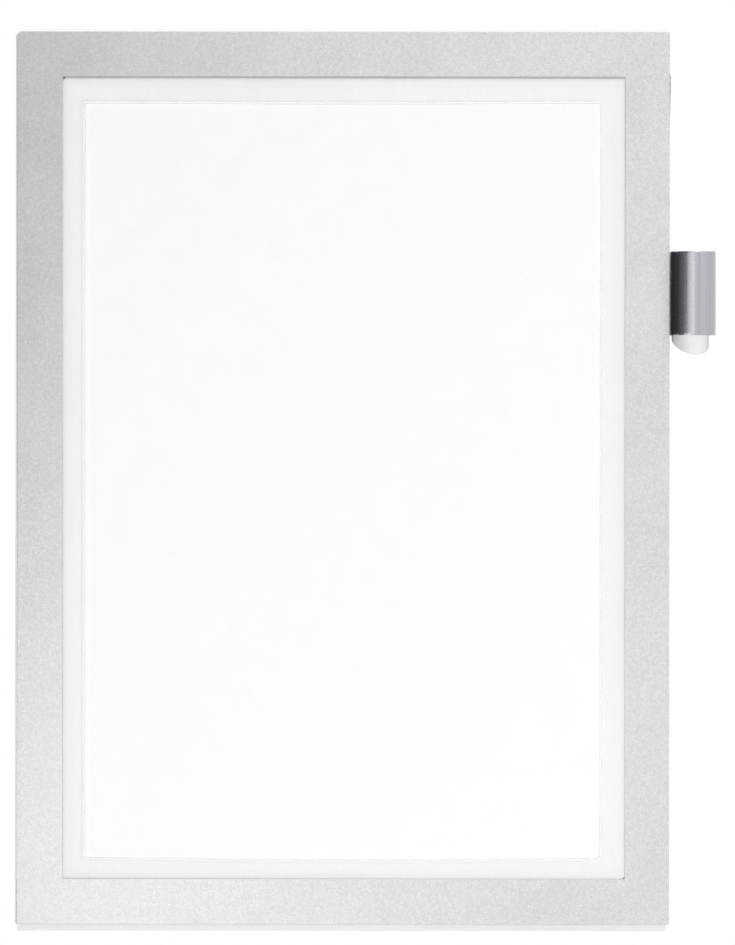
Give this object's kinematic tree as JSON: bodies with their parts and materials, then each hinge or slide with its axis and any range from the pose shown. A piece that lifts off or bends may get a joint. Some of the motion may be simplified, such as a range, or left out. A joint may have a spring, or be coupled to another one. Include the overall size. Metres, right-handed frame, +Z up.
{
  "type": "magnetic sign frame",
  "caption": "Upright magnetic sign frame for an A4 sheet: the front opens on a film fold at its left edge, its clear cover is cut out for writing, and a pen holder sits at its right edge.",
  "frame": {"origin": "on the wall, at the middle of the lowest adhesive strip's rear face", "axes": "+X to the right as seen from the front, +Y into the wall, so that the front faces -Y, +Z up"},
  "size_m": [0.2525, 0.0164, 0.3255],
  "materials": {
    "silver_film": "fine-grained silver film",
    "clear_film": "clear",
    "magnet_core": "dull",
    "coated_steel": "satin light grey",
    "paper": "plain white paper",
    "foam_tape": "matt foam",
    "satin_metal": "satin",
    "soft_plastic": "matt"
  },
  "bodies": {
    "back": {"back_film": "clear_film", "back_strip_top": "coated_steel", "back_strip_bottom": "coated_steel", "back_strip_left": "coated_steel", "back_strip_right": "coated_steel", "insert_sheet": "paper", "adhesive_bottom": "foam_tape", "adhesive_top": "foam_tape", "adhesive_left": "foam_tape", "adhesive_right_lower": "foam_tape", "adhesive_right_upper": "foam_tape", "holder_pad": "foam_tape", "holder_sleeve": "satin_metal", "holder_liner": "soft_plastic"},
    "front": {"front_face": "silver_film", "cover_film": "clear_film", "magnet_strip_top": "magnet_core", "magnet_strip_bottom": "magnet_core", "magnet_strip_left": "magnet_core", "magnet_strip_right": "magnet_core"}
  },
  "joints": [
    {"name": "front_hinge", "type": "hinge", "parent": "back", "child": "front", "pos_m": [-0.1178, -0.00187, 0.1574], "axis": [0, 0, -1], "range_deg": [0, 180]}
  ]
}
